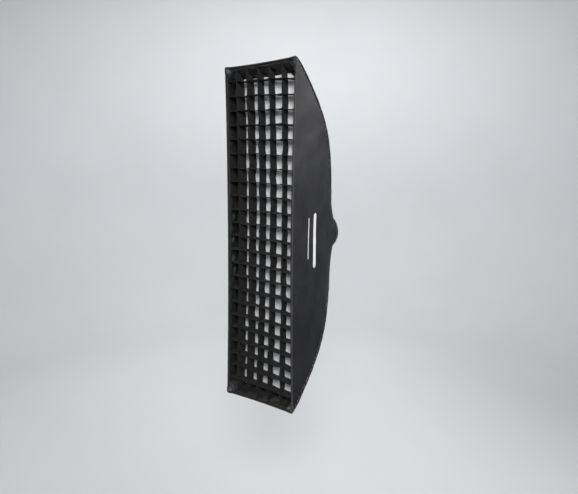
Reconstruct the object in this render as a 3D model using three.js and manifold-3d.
// A strip softbox for a studio flash head: speed ring with bayonet adapter, four sprung rods, a fabric shell,
// an inner baffle, a front diffuser and an egg-crate grid.
// Millimetres, +Z up along the strip. Light leaves along -Y. The origin is the middle of the bayonet seat.
import * as THREE from "three";
import { mergeVertices } from "three/addons/utils/BufferGeometryUtils.js";
import Module from "manifold-3d";

const wasm = await Module();
wasm.setup();

// Driving dimensions
const FRONT = { halfX: 150, halfZ: 600, y: -440 }; // front opening of the shell
const NECK = { x: 50, z: 62, y: -21.5 }; // where each seam leaves the ring
const NECK_RADIUS = Math.hypot(NECK.x, NECK.z);
const SEAM_START_TILT = 70; // degrees from the light's axis, at the ring
const SEAM_END_TILT = 32; // and at the front corner
const SEAM_START_PULL = 319; // lengths of the seam curve's handles
const SEAM_END_PULL = 346;
const LONG_EDGE_BOW = 9; // the long front edges are drawn in by this much at mid-height
const SHORT_EDGE_BOW = 3;
const END_PANEL_DIP = 7;
const NECK_BLEND = 0.25; // share of the seam over which an end panel leaves the round neck
const CLOTH = 1.5; // thickness of the lined shell fabric
const CORNER_CUT = 26; // corners of the tape, grid and diffuser, which leave room for the rod pockets
const GAP = 0.4; // between pieces that touch
// The binding over a seam: its radius, how far out from the seam it lies, and the spans of its curve.
const BINDING = { radius: 2, clear: 2.1, spans: 16 };

// Radii, and the Y of each face
const BORE_RADIUS = 49;
const RING = { outer: 76, seat: 64.6, lip: 60, rear: -4, shelf: -7, front: -11 };
const ADAPTER = { collar: 52, boss: 59.4, flange: 64, flangeRear: -7.3, collarRear: 12 };
const LUG = { outer: 57.5, halfAngle: 12, rear: 10.5, thickness: 3, count: 3 };
const LOCK_HOLE = { radius: 2.5, at: 55.8, depth: 6 };

const ROD_RADIUS = 2.25;
const ROD_START = new THREE.Vector3(40, -26, 44);
const ROD_END = new THREE.Vector3(139, -430, 582.5);
const ROD_START_TILT = 71;
const ROD_START_PULL = 325;
const ROD_END_PULL = 340;
const SOCKET = { outer: 5, inner: 3.3, length: 25, floor: 2 };
const BOSS = { radius: 7, reach: 3, footAt: 70, footY: -19.5, foot: new THREE.Vector3(11, 20, 13) };
const TIP = { outer: 4.2, inner: 2.6, length: 14, floor: 3 };
const POCKET = { outer: 6.4, inner: 5, length: 40, floor: 1.6 };

const COLLAR = { wall: 2.6, hemRadius: 68, hemRear: -1.4, hemFront: -3.7 };
const COLLAR_TAB = { halfAngle: 0.4, width: 14, y: -11.8, thickness: 1.4 }; // radians and millimetres

const CLAMP = { radius: 70, thickness: 2, halfWidth: 5.5, inward: 14, screwHole: 2.5 };
const SCREW = { shank: 2, head: 6.4, groove: 5.8, ridges: 18, headHeight: 7, reach: 5 };

const GRID = { front: -438.5, rear: -402.5, columns: 6, rows: 24, wall: 1.2, border: 2.2 };
const UPRIGHT_REAR_SHARE = 0.92; // the rear edges of the grid's uprights draw together
const DIFFUSER = { y: -396.5, cloth: 1, tapeFront: -400.5, tapeRear: -381, tape: 1.4 };
const BAFFLE = { y: -250, halfX: 96, halfZ: 392, cloth: 1, cornerCut: 14 };
const STRAP = { width: 9, thickness: 1.2, length: 46 };
const HOOK = { width: 12, thickness: 2.4, length: 13, eye: 3.4 };

const material = (color, roughness, metalness) =>
  new THREE.MeshStandardMaterial({ color, roughness, metalness });
const shellCloth = material(0x2b2b2d, 0.75, 0);
const bindingTape = material(0x3a3836, 0.85, 0);
const gridCloth = material(0x202022, 0.85, 0);
const hookTape = material(0x1a1a1c, 0.95, 0);
const whiteCloth = material(0xe6e7e8, 0.8, 0);
const elastic = material(0xd8d8d8, 0.85, 0);
const ringPaint = material(0x1c1d1f, 0.45, 0.2);
const bayonetMetal = material(0xb9bcc0, 0.32, 0.9);
const rodSteel = material(0x9a9da1, 0.3, 0.95);
const screwSteel = material(0xc4c6c9, 0.28, 0.95);
const tipPlastic = material(0x141414, 0.5, 0);
const pocketWebbing = material(0x4a494b, 0.6, 0);

const UP_Y = new THREE.Vector3(0, 1, 0);
const softbox = new THREE.Group();

function add(name, geometry, finish, parent = softbox) {
  const mesh = new THREE.Mesh(geometry, finish);
  mesh.name = name;
  parent.add(mesh);
  return mesh;
}

// Booleans

function solidOf(geometry) {
  const bare = geometry.clone();
  for (const extra of ["normal", "uv"]) bare.deleteAttribute(extra);
  const merged = mergeVertices(bare, 1e-3);
  return new wasm.Manifold(
    new wasm.Mesh({
      numProp: 3,
      vertProperties: merged.attributes.position.array,
      triVerts: new Uint32Array(merged.index.array),
    }),
  );
}

function geometryOf(solid) {
  const mesh = solid.getMesh();
  return new THREE.BufferGeometry()
    .setAttribute("position", new THREE.BufferAttribute(mesh.vertProperties, 3))
    .setIndex(new THREE.BufferAttribute(mesh.triVerts, 1));
}

const join = (solids) => solids.reduce((whole, next) => whole.add(next));

// The seam where a side panel meets an end panel, in the quadrant of +X and +Z. Its x follows its z on a line,
// so in plan each rod runs straight from the ring to its corner.

function bowed(start, end, startTilt, endTilt, startPull, endPull) {
  const lean = (end.x - start.x) / (end.z - start.z);
  const handle = (from, tilt, pull) => {
    const angle = THREE.MathUtils.degToRad(tilt);
    const z = Math.sin(angle) * pull;
    return new THREE.Vector3(from.x + lean * z, from.y - Math.cos(angle) * pull, from.z + z);
  };
  return new THREE.CubicBezierCurve3(
    start,
    handle(start, startTilt, startPull),
    handle(end, endTilt, -endPull),
    end,
  );
}

const seam = bowed(
  new THREE.Vector3(NECK.x, NECK.y, NECK.z),
  new THREE.Vector3(FRONT.halfX, FRONT.y, FRONT.halfZ),
  SEAM_START_TILT,
  SEAM_END_TILT,
  SEAM_START_PULL,
  SEAM_END_PULL,
);
const rodLine = bowed(
  ROD_START,
  ROD_END,
  ROD_START_TILT,
  SEAM_END_TILT,
  ROD_START_PULL,
  ROD_END_PULL,
);

// The seam's parameter at a depth y, by halving.
function seamAt(y) {
  let low = 0;
  let high = 1;
  for (let i = 0; i < 40; i++) {
    const middle = (low + high) / 2;
    if (seam.getPoint(middle).y > y) low = middle;
    else high = middle;
  }
  return (low + high) / 2;
}

// How far a side panel's middle stands out from the line between its seams: the cloth is stretched straight
// from the ring to the drawn-in front edge.
function sideSwell(t) {
  const p = seam.getPoint(t);
  const depth = (p.y - NECK.y) / (FRONT.y - NECK.y);
  return THREE.MathUtils.lerp(NECK_RADIUS, FRONT.halfX - LONG_EDGE_BOW, depth) - p.x;
}

// The same for an end panel: round at the neck, then dipped a little between its rods.
function endSwell(t) {
  const neck = (NECK_RADIUS - NECK.z) * Math.max(0, 1 - t / NECK_BLEND) ** 2;
  return neck - END_PANEL_DIP * 4 * t * (1 - t) - SHORT_EDGE_BOW * t * t;
}

// Points on the shell's outer face. v runs from -1 to 1 between two seams.

function sidePoint(t, v) {
  const p = seam.getPoint(t);
  const along = seam.getTangent(t);
  const inset = CLOTH + GAP;
  const size = Math.hypot(along.y, along.z);
  return new THREE.Vector3(
    p.x + sideSwell(t) * (1 - v * v),
    p.y - (inset * along.z) / size,
    (p.z + (inset * along.y) / size) * v,
  );
}

function endPoint(t, v) {
  const p = seam.getPoint(t);
  return new THREE.Vector3(p.x * v, p.y, p.z + endSwell(t) * (1 - v * v));
}

// A closed sheet of even thickness, from a surface whose normal (dt x dv, times facing) points out.
function sheet(surface, facing, thickness, tSteps, vSteps) {
  const step = 1e-4;
  const outer = [];
  const inner = [];
  for (let i = 0; i <= tSteps; i++)
    for (let j = 0; j <= vSteps; j++) {
      const t = i / tSteps;
      const v = (2 * j) / vSteps - 1;
      const t0 = Math.min(t, 1 - step);
      const p = surface(t, v);
      const dt = surface(t0 + step, v).sub(surface(t0, v));
      const dv = surface(t0, v + step).sub(surface(t0, v));
      const normal = dt.cross(dv).normalize().multiplyScalar(facing);
      outer.push(p);
      inner.push(p.clone().addScaledVector(normal, -thickness));
    }
  const row = vSteps + 1;
  const last = tSteps * row;
  const under = outer.length;
  const faces = [];
  const quad = (a, b, c, d) => {
    const order = facing > 0 ? [a, b, c, a, c, d] : [a, c, b, a, d, c];
    faces.push(...order);
  };
  for (let i = 0; i < tSteps; i++)
    for (let j = 0; j < vSteps; j++) {
      const k = i * row + j;
      quad(k, k + row, k + row + 1, k + 1);
      quad(under + k, under + k + 1, under + k + row + 1, under + k + row);
    }
  for (let j = 0; j < vSteps; j++) {
    quad(j, j + 1, under + j + 1, under + j);
    quad(last + j + 1, last + j, under + last + j, under + last + j + 1);
  }
  for (let i = 0; i < tSteps; i++) {
    const k = i * row;
    quad(k + row, k, under + k, under + k + row);
    quad(k + vSteps, k + row + vSteps, under + k + row + vSteps, under + k + vSteps);
  }
  return new THREE.BufferGeometry()
    .setFromPoints([...outer, ...inner])
    .setIndex(faces);
}

// Closed loops across the lip, inset from the shell's outer face, with cut corners. Points run anticlockwise
// seen from the front.
function lipLoop(y, inset, longSteps = 10, shortSteps = 4) {
  const t = seamAt(y);
  const p = seam.getPoint(t);
  const slope = seam.getTangent(t);
  const x = p.x - inset;
  const z = p.z - (inset * Math.hypot(slope.y, slope.z)) / Math.abs(slope.y);
  const alongSide = (s) => {
    const pz = s * (z - CORNER_CUT);
    return [x + sideSwell(t) * (1 - (pz / p.z) ** 2), pz];
  };
  const alongEnd = (s) => {
    const px = -s * (x - CORNER_CUT);
    return [px, z + endSwell(t) * (1 - (px / p.x) ** 2)];
  };
  const runs = [
    { steps: longSteps, at: alongSide },
    { steps: shortSteps, at: alongEnd },
  ];
  const points = [];
  for (const side of [1, -1])
    for (const run of runs)
      for (let i = 0; i <= run.steps; i++) {
        const [px, pz] = run.at((2 * i) / run.steps - 1);
        points.push(new THREE.Vector3(side * px, y, side * pz));
      }
  return points;
}

// A solid whose skin joins each loop to the next, and the last to the first or to flat caps.
function loft(loops, capped) {
  const count = loops[0].length;
  const points = loops.flat();
  const faces = [];
  const rings = capped ? loops.length - 1 : loops.length;
  for (let i = 0; i < rings; i++)
    for (let j = 0; j < count; j++) {
      const a = i * count + j;
      const b = i * count + ((j + 1) % count);
      const c = ((i + 1) % loops.length) * count + ((j + 1) % count);
      const d = ((i + 1) % loops.length) * count + j;
      faces.push(a, b, c, a, c, d);
    }
  if (capped) {
    const last = (loops.length - 1) * count;
    for (const [start, order] of [[0, -1], [last, 1]]) {
      const middle = new THREE.Vector3(0, loops[start ? loops.length - 1 : 0][0].y, 0);
      points.push(middle);
      const hub = points.length - 1;
      for (let j = 0; j < count; j++) {
        const a = start + j;
        const b = start + ((j + 1) % count);
        faces.push(...(order > 0 ? [hub, a, b] : [hub, b, a]));
      }
    }
  }
  return new THREE.BufferGeometry().setFromPoints(points).setIndex(faces);
}

const lipBand = (front, rear, inset, thickness) =>
  loft(
    [
      lipLoop(rear, inset),
      lipLoop(front, inset),
      lipLoop(front, inset + thickness),
      lipLoop(rear, inset + thickness),
    ],
    false,
  );

// Turned pieces, about their own +Y

function turned(profile, segments = 40) {
  const points = profile.map(([r, y]) => new THREE.Vector2(r, y));
  return new THREE.LatheGeometry([...points, points[0].clone()], segments);
}

// A cup open at y = 0, with its floor at y = length.
const cup = ({ outer, inner, length, floor }, segments = 12) =>
  new THREE.LatheGeometry(
    [
      [0, length - floor],
      [inner, length - floor],
      [inner, 0],
      [outer, 0],
      [outer, length],
      [0, length],
    ].map(([r, y]) => new THREE.Vector2(r, y)),
    segments,
  );

function placeAlong(mesh, from, direction) {
  mesh.position.copy(from);
  mesh.quaternion.setFromUnitVectors(UP_Y, direction);
}

// A flat plate from an outline in X and Z, centred on y.
function plate(outline, y, thickness, curveSegments = 10) {
  return new THREE.ExtrudeGeometry(outline, { depth: thickness, bevelEnabled: false, curveSegments })
    .rotateX(Math.PI / 2)
    .translate(0, y + thickness / 2, 0);
}

// Adapter and speed ring

function bayonetRing() {
  const { collar, boss, flange, flangeRear, collarRear } = ADAPTER;
  let body = solidOf(
    turned([
      [BORE_RADIUS, RING.front],
      [flange, RING.front],
      [flange, flangeRear],
      [boss, flangeRear],
      [boss, 0],
      [collar, 0],
      [collar, collarRear],
      [BORE_RADIUS, collarRear],
    ]),
  );
  for (let i = 0; i < LUG.count; i++) {
    const middle = (i * 2 * Math.PI) / LUG.count + Math.PI / 2;
    const half = THREE.MathUtils.degToRad(LUG.halfAngle);
    const outline = new THREE.Shape();
    outline.absarc(0, 0, LUG.outer, middle - half, middle + half, false);
    outline.absarc(0, 0, collar - 1, middle + half, middle - half, true);
    body = body.add(solidOf(plate(outline, LUG.rear - LUG.thickness / 2, LUG.thickness, 5)));
  }
  const hole = new THREE.CylinderGeometry(
    LOCK_HOLE.radius,
    LOCK_HOLE.radius,
    2 * LOCK_HOLE.depth,
    12,
  ).translate(LOCK_HOLE.at, 0, 0);
  return geometryOf(body.subtract(solidOf(hole)));
}

const rodStart = rodLine.getTangent(0);
const quadrants = [
  ["top_right", 1, 1],
  ["top_left", -1, 1],
  ["bottom_right", 1, -1],
  ["bottom_left", -1, -1],
];

// A cylinder on the rod's axis, from one distance to another past the rod's inner end.
function onRodAxis(radius, from, to, segments) {
  const turn = new THREE.Quaternion().setFromUnitVectors(UP_Y, rodStart);
  return new THREE.CylinderGeometry(radius, radius, to - from, segments)
    .translate(0, (from + to) / 2, 0)
    .applyQuaternion(turn)
    .translate(ROD_START.x, ROD_START.y, ROD_START.z);
}

// One rod boss: an inclined barrel on a foot that stands on the ring, in the quadrant of +X and +Z.
function rodBoss() {
  const from = -SOCKET.floor - BOSS.reach;
  const barrel = onRodAxis(BOSS.radius, from, from + SOCKET.length + BOSS.reach, 16);
  const foot = new THREE.BoxGeometry(...BOSS.foot)
    .translate(BOSS.footAt, BOSS.footY, 0)
    .rotateY(-Math.atan2(NECK.z, NECK.x));
  return solidOf(barrel).add(solidOf(foot));
}

// The hole for a socket runs out through the barrel's mouth.
const socketBore = () =>
  solidOf(onRodAxis(SOCKET.outer + GAP, -SOCKET.floor - GAP, SOCKET.length + BOSS.reach, 12));

const clampAngles = [0, 90, 180, 270];
const clampPlaces = clampAngles.map((degrees) => {
  const angle = THREE.MathUtils.degToRad(degrees);
  return { degrees, angle, x: CLAMP.radius * Math.sin(angle), z: CLAMP.radius * Math.cos(angle) };
});

function speedRing() {
  const { outer, seat, lip, rear, shelf, front } = RING;
  let body = solidOf(
    turned([
      [seat, front],
      [outer, front],
      [outer, rear],
      [lip, rear],
      [lip, shelf],
      [seat, shelf],
    ]),
  );
  for (const [, sx, sz] of quadrants) {
    body = body.add(rodBoss().scale([sx, 1, sz])).subtract(socketBore().scale([sx, 1, sz]));
  }
  for (const { x, z } of clampPlaces) {
    const hole = new THREE.CylinderGeometry(CLAMP.screwHole, CLAMP.screwHole, 10, 12);
    body = body.subtract(solidOf(hole.translate(x, front, z)));
  }
  return geometryOf(body);
}

add("bayonet_ring", bayonetRing(), bayonetMetal);
add("speed_ring", speedRing(), ringPaint);

// Clamps: four swivelling tabs under knurled screws hold the adapter in the ring.

function clampTab() {
  const { halfWidth, inward, screwHole } = CLAMP;
  const outline = new THREE.Shape();
  outline.absarc(0, 0, halfWidth, 0, Math.PI, false);
  outline.lineTo(-halfWidth + 1, -inward);
  outline.lineTo(halfWidth - 1, -inward);
  outline.closePath();
  const hole = new THREE.Path();
  hole.absarc(0, 0, screwHole, 0, 2 * Math.PI, true);
  outline.holes.push(hole);
  return plate(outline, 0, CLAMP.thickness, 8);
}

function clampScrew() {
  const knurl = new THREE.Shape();
  for (let i = 0; i < 2 * SCREW.ridges; i++) {
    const angle = (i * Math.PI) / SCREW.ridges;
    const r = i % 2 ? SCREW.groove : SCREW.head;
    const [x, y] = [r * Math.cos(angle), r * Math.sin(angle)];
    if (i) knurl.lineTo(x, y);
    else knurl.moveTo(x, y);
  }
  knurl.closePath();
  const head = plate(knurl, -SCREW.headHeight / 2, SCREW.headHeight);
  const length = SCREW.reach + CLAMP.thickness + 1.6;
  const shank = new THREE.CylinderGeometry(SCREW.shank, SCREW.shank, length, 12);
  return geometryOf(solidOf(head).add(solidOf(shank.translate(0, length / 2 - 1, 0))));
}

clampPlaces.forEach(({ angle, x, z }, i) => {
  const place = new THREE.Group();
  place.position.set(x, RING.front - GAP - CLAMP.thickness / 2, z);
  place.rotation.y = angle;
  softbox.add(place);
  add(`clamp_tab_${i + 1}`, clampTab(), screwSteel, place);
  const screw = add(`clamp_screw_${i + 1}`, clampScrew(), screwSteel, place);
  screw.position.y = -CLAMP.thickness / 2 - GAP;
});

// Rods, sockets, tips and corner pockets

function rodGeometry() {
  const section = new THREE.Shape().absarc(0, 0, ROD_RADIUS, 0, 2 * Math.PI, false);
  return new THREE.ExtrudeGeometry(section, {
    extrudePath: rodLine,
    steps: 24,
    curveSegments: 4,
    bevelEnabled: false,
  });
}

const rodEnd = rodLine.getTangent(1);
for (const [corner, sx, sz] of quadrants) {
  const quadrant = new THREE.Group();
  quadrant.scale.set(sx, 1, sz);
  softbox.add(quadrant);
  add(`rod_${corner}`, rodGeometry(), rodSteel, quadrant);
  const socket = add(`rod_socket_${corner}`, cup(SOCKET), screwSteel, quadrant);
  const mouth = SOCKET.length - SOCKET.floor - GAP;
  placeAlong(
    socket,
    ROD_START.clone().addScaledVector(rodStart, mouth),
    rodStart.clone().negate(),
  );
  const tip = add(`rod_tip_${corner}`, cup(TIP), tipPlastic, quadrant);
  placeAlong(
    tip,
    ROD_END.clone().addScaledVector(rodEnd, TIP.floor + GAP - TIP.length),
    rodEnd,
  );
  const pocket = add(`corner_pocket_${corner}`, cup(POCKET), pocketWebbing, quadrant);
  const pocketEnd = TIP.floor + POCKET.floor + 2 * GAP;
  placeAlong(pocket, ROD_END.clone().addScaledVector(rodEnd, pocketEnd - POCKET.length), rodEnd);

  add(`seam_binding_${corner}`, bindingGeometry(), bindingTape, quadrant);
}

// The tape over a seam, just outside the panels' corner.
function bindingGeometry() {
  const { radius, clear, spans } = BINDING;
  const points = [];
  for (let i = 0; i <= spans; i++) {
    const p = seam.getPoint(i / spans);
    const along = seam.getTangent(i / spans);
    const size = Math.hypot(along.y, along.z);
    const out = new THREE.Vector3(1, along.z / size, -along.y / size);
    points.push(p.addScaledVector(out, clear));
  }
  const section = new THREE.Shape().absarc(0, 0, radius, 0, 2 * Math.PI, false);
  return new THREE.ExtrudeGeometry(section, {
    extrudePath: new THREE.CatmullRomCurve3(points),
    steps: 20,
    curveSegments: 3,
    bevelEnabled: false,
  });
}

// Shell

add("side_panel_right", sheet(sidePoint, -1, CLOTH, 14, 8), shellCloth);
add("side_panel_left", sheet(sidePoint, -1, CLOTH, 14, 8), shellCloth).scale.x = -1;
add("end_panel_top", sheet(endPoint, 1, CLOTH, 14, 6), shellCloth);
add("end_panel_bottom", sheet(endPoint, 1, CLOTH, 14, 6), shellCloth).scale.z = -1;

// The sleeve round the ring, with a hem turned in behind it.
function rearCollar() {
  const { wall, hemRadius, hemRear, hemFront } = COLLAR;
  return turned([
    [NECK_RADIUS - wall, NECK.y + GAP],
    [NECK_RADIUS, NECK.y + GAP],
    [NECK_RADIUS, hemRear],
    [hemRadius, hemRear],
    [hemRadius, hemFront],
    [NECK_RADIUS - wall, hemFront],
  ]);
}
add("rear_collar", rearCollar(), shellCloth);

function collarTab() {
  const { halfAngle, width, y, thickness } = COLLAR_TAB;
  const inner = NECK_RADIUS + GAP;
  const outline = new THREE.Shape();
  outline.absarc(0, 0, inner + thickness, -halfAngle, halfAngle, false);
  outline.absarc(0, 0, inner, halfAngle, -halfAngle, true);
  return plate(outline, y, width, 8);
}
add("collar_closure_tab", collarTab(), hookTape);

// Binding on the front edges. The long ones follow the drawn-in edge.

const HEM = { width: 3, thickness: 1.6, proud: 1.2, rear: FRONT.y - 1.6 };

function longHem() {
  const z = FRONT.halfZ - HEM.width - GAP;
  const outer = FRONT.halfX + HEM.proud;
  const inner = outer - HEM.width - HEM.proud;
  const control = 2 * LONG_EDGE_BOW;
  const outline = new THREE.Shape();
  outline.moveTo(outer, -z);
  outline.quadraticCurveTo(outer - control, 0, outer, z);
  outline.lineTo(inner, z);
  outline.quadraticCurveTo(inner - control, 0, inner, -z);
  outline.closePath();
  return plate(outline, HEM.rear - HEM.thickness / 2, HEM.thickness);
}

function shortHem() {
  const x = FRONT.halfX + HEM.proud;
  const outer = FRONT.halfZ + HEM.proud;
  const inner = outer - HEM.width - HEM.proud;
  const control = 2 * SHORT_EDGE_BOW;
  const outline = new THREE.Shape();
  outline.moveTo(x, inner);
  outline.lineTo(x, outer);
  outline.quadraticCurveTo(0, outer - control, -x, outer);
  outline.lineTo(-x, inner);
  outline.quadraticCurveTo(0, inner - control, x, inner);
  return plate(outline, HEM.rear - HEM.thickness / 2, HEM.thickness);
}

add("front_hem_right", longHem(), bindingTape);
add("front_hem_left", longHem(), bindingTape).scale.x = -1;
add("front_hem_top", shortHem(), bindingTape);
add("front_hem_bottom", shortHem(), bindingTape).scale.z = -1;

// Loop tape inside the lip, and what it holds

const TAPE = { inset: CLOTH + 2 * GAP, thickness: 0.8 };
const HELD_INSET = TAPE.inset + TAPE.thickness + 0.6;
add(
  "lip_loop_tape",
  lipBand(FRONT.y + 1, DIFFUSER.tapeRear + 3, TAPE.inset, TAPE.thickness),
  hookTape,
);

function gridLattice() {
  const inset = HELD_INSET + GRID.border + GAP;
  const overrun = 40;
  const wallAt = (atFront, atRear, length) => {
    const half = GRID.wall / 2;
    const outline = new THREE.Shape([
      new THREE.Vector2(atFront - half, GRID.front - 1),
      new THREE.Vector2(atFront + half, GRID.front - 1),
      new THREE.Vector2(atRear + half, GRID.rear + 1),
      new THREE.Vector2(atRear - half, GRID.rear + 1),
    ]);
    return new THREE.ExtrudeGeometry(outline, { depth: length, bevelEnabled: false }).translate(
      0,
      0,
      -length / 2,
    );
  };
  const walls = [];
  const halfX = FRONT.halfX - inset - LONG_EDGE_BOW / 2;
  const halfZ = FRONT.halfZ - inset;
  for (let i = 1; i < GRID.columns; i++) {
    const x = halfX * ((2 * i) / GRID.columns - 1);
    walls.push(solidOf(wallAt(x, x * UPRIGHT_REAR_SHARE, 2 * halfZ + overrun)));
  }
  for (let i = 1; i < GRID.rows; i++) {
    const z = halfZ * ((2 * i) / GRID.rows - 1);
    walls.push(solidOf(wallAt(z, z, 2 * halfX + overrun).rotateY(-Math.PI / 2)));
  }
  const inside = loft([lipLoop(GRID.rear, inset), lipLoop(GRID.front, inset)], true);
  return geometryOf(join(walls).intersect(solidOf(inside)));
}

add("grid_border", lipBand(GRID.front, GRID.rear, HELD_INSET, GRID.border), hookTape);
add("grid_lattice", gridLattice(), gridCloth);

function diffuserCloth() {
  const inset = HELD_INSET + DIFFUSER.tape + GAP;
  const half = DIFFUSER.cloth / 2;
  return loft([lipLoop(DIFFUSER.y + half, inset), lipLoop(DIFFUSER.y - half, inset)], true);
}
add("front_diffuser", diffuserCloth(), whiteCloth);
add(
  "front_diffuser_border",
  lipBand(DIFFUSER.tapeFront, DIFFUSER.tapeRear, HELD_INSET, DIFFUSER.tape),
  hookTape,
);

// Inner baffle, hung in the shell by a strap and a hook at each corner

function baffleCloth() {
  const { halfX, halfZ, cornerCut } = BAFFLE;
  const draw = 6;
  const outline = new THREE.Shape();
  outline.moveTo(halfX, -halfZ + cornerCut);
  outline.quadraticCurveTo(halfX - draw, 0, halfX, halfZ - cornerCut);
  outline.lineTo(halfX - cornerCut, halfZ);
  outline.quadraticCurveTo(0, halfZ - draw, -halfX + cornerCut, halfZ);
  outline.lineTo(-halfX, halfZ - cornerCut);
  outline.quadraticCurveTo(-halfX + draw, 0, -halfX, -halfZ + cornerCut);
  outline.lineTo(-halfX + cornerCut, -halfZ);
  outline.quadraticCurveTo(0, -halfZ + draw, halfX - cornerCut, -halfZ);
  return plate(outline, BAFFLE.y, BAFFLE.cloth);
}
add("inner_baffle", baffleCloth(), whiteCloth);

for (const [corner, sx, sz] of quadrants) {
  const quadrant = new THREE.Group();
  quadrant.scale.set(sx, 1, sz);
  softbox.add(quadrant);
  const hang = new THREE.Group();
  hang.position.set(
    BAFFLE.halfX - BAFFLE.cornerCut / 2,
    BAFFLE.y,
    BAFFLE.halfZ - BAFFLE.cornerCut / 2,
  );
  const anchor = seam.getPoint(seamAt(BAFFLE.y));
  hang.rotation.y = Math.atan2(anchor.x - hang.position.x, anchor.z - hang.position.z);
  quadrant.add(hang);
  const strap = add(
    `baffle_strap_${corner}`,
    new THREE.BoxGeometry(STRAP.width, STRAP.thickness, STRAP.length),
    elastic,
    hang,
  );
  const clear = STRAP.width / 2 + 2;
  strap.position.z = clear + STRAP.length / 2;
  const eye = new THREE.Path();
  eye.absarc(0, HOOK.length / 2, HOOK.eye, 0, 2 * Math.PI, true);
  const outline = new THREE.Shape([
    new THREE.Vector2(-HOOK.width / 2, 0),
    new THREE.Vector2(HOOK.width / 2, 0),
    new THREE.Vector2(HOOK.width / 3, HOOK.length),
    new THREE.Vector2(-HOOK.width / 3, HOOK.length),
  ]);
  outline.holes.push(eye);
  const hook = add(`baffle_hook_${corner}`, plate(outline, 0, HOOK.thickness, 8), tipPlastic, hang);
  hook.position.z = clear + STRAP.length + GAP;
}

export default softbox;
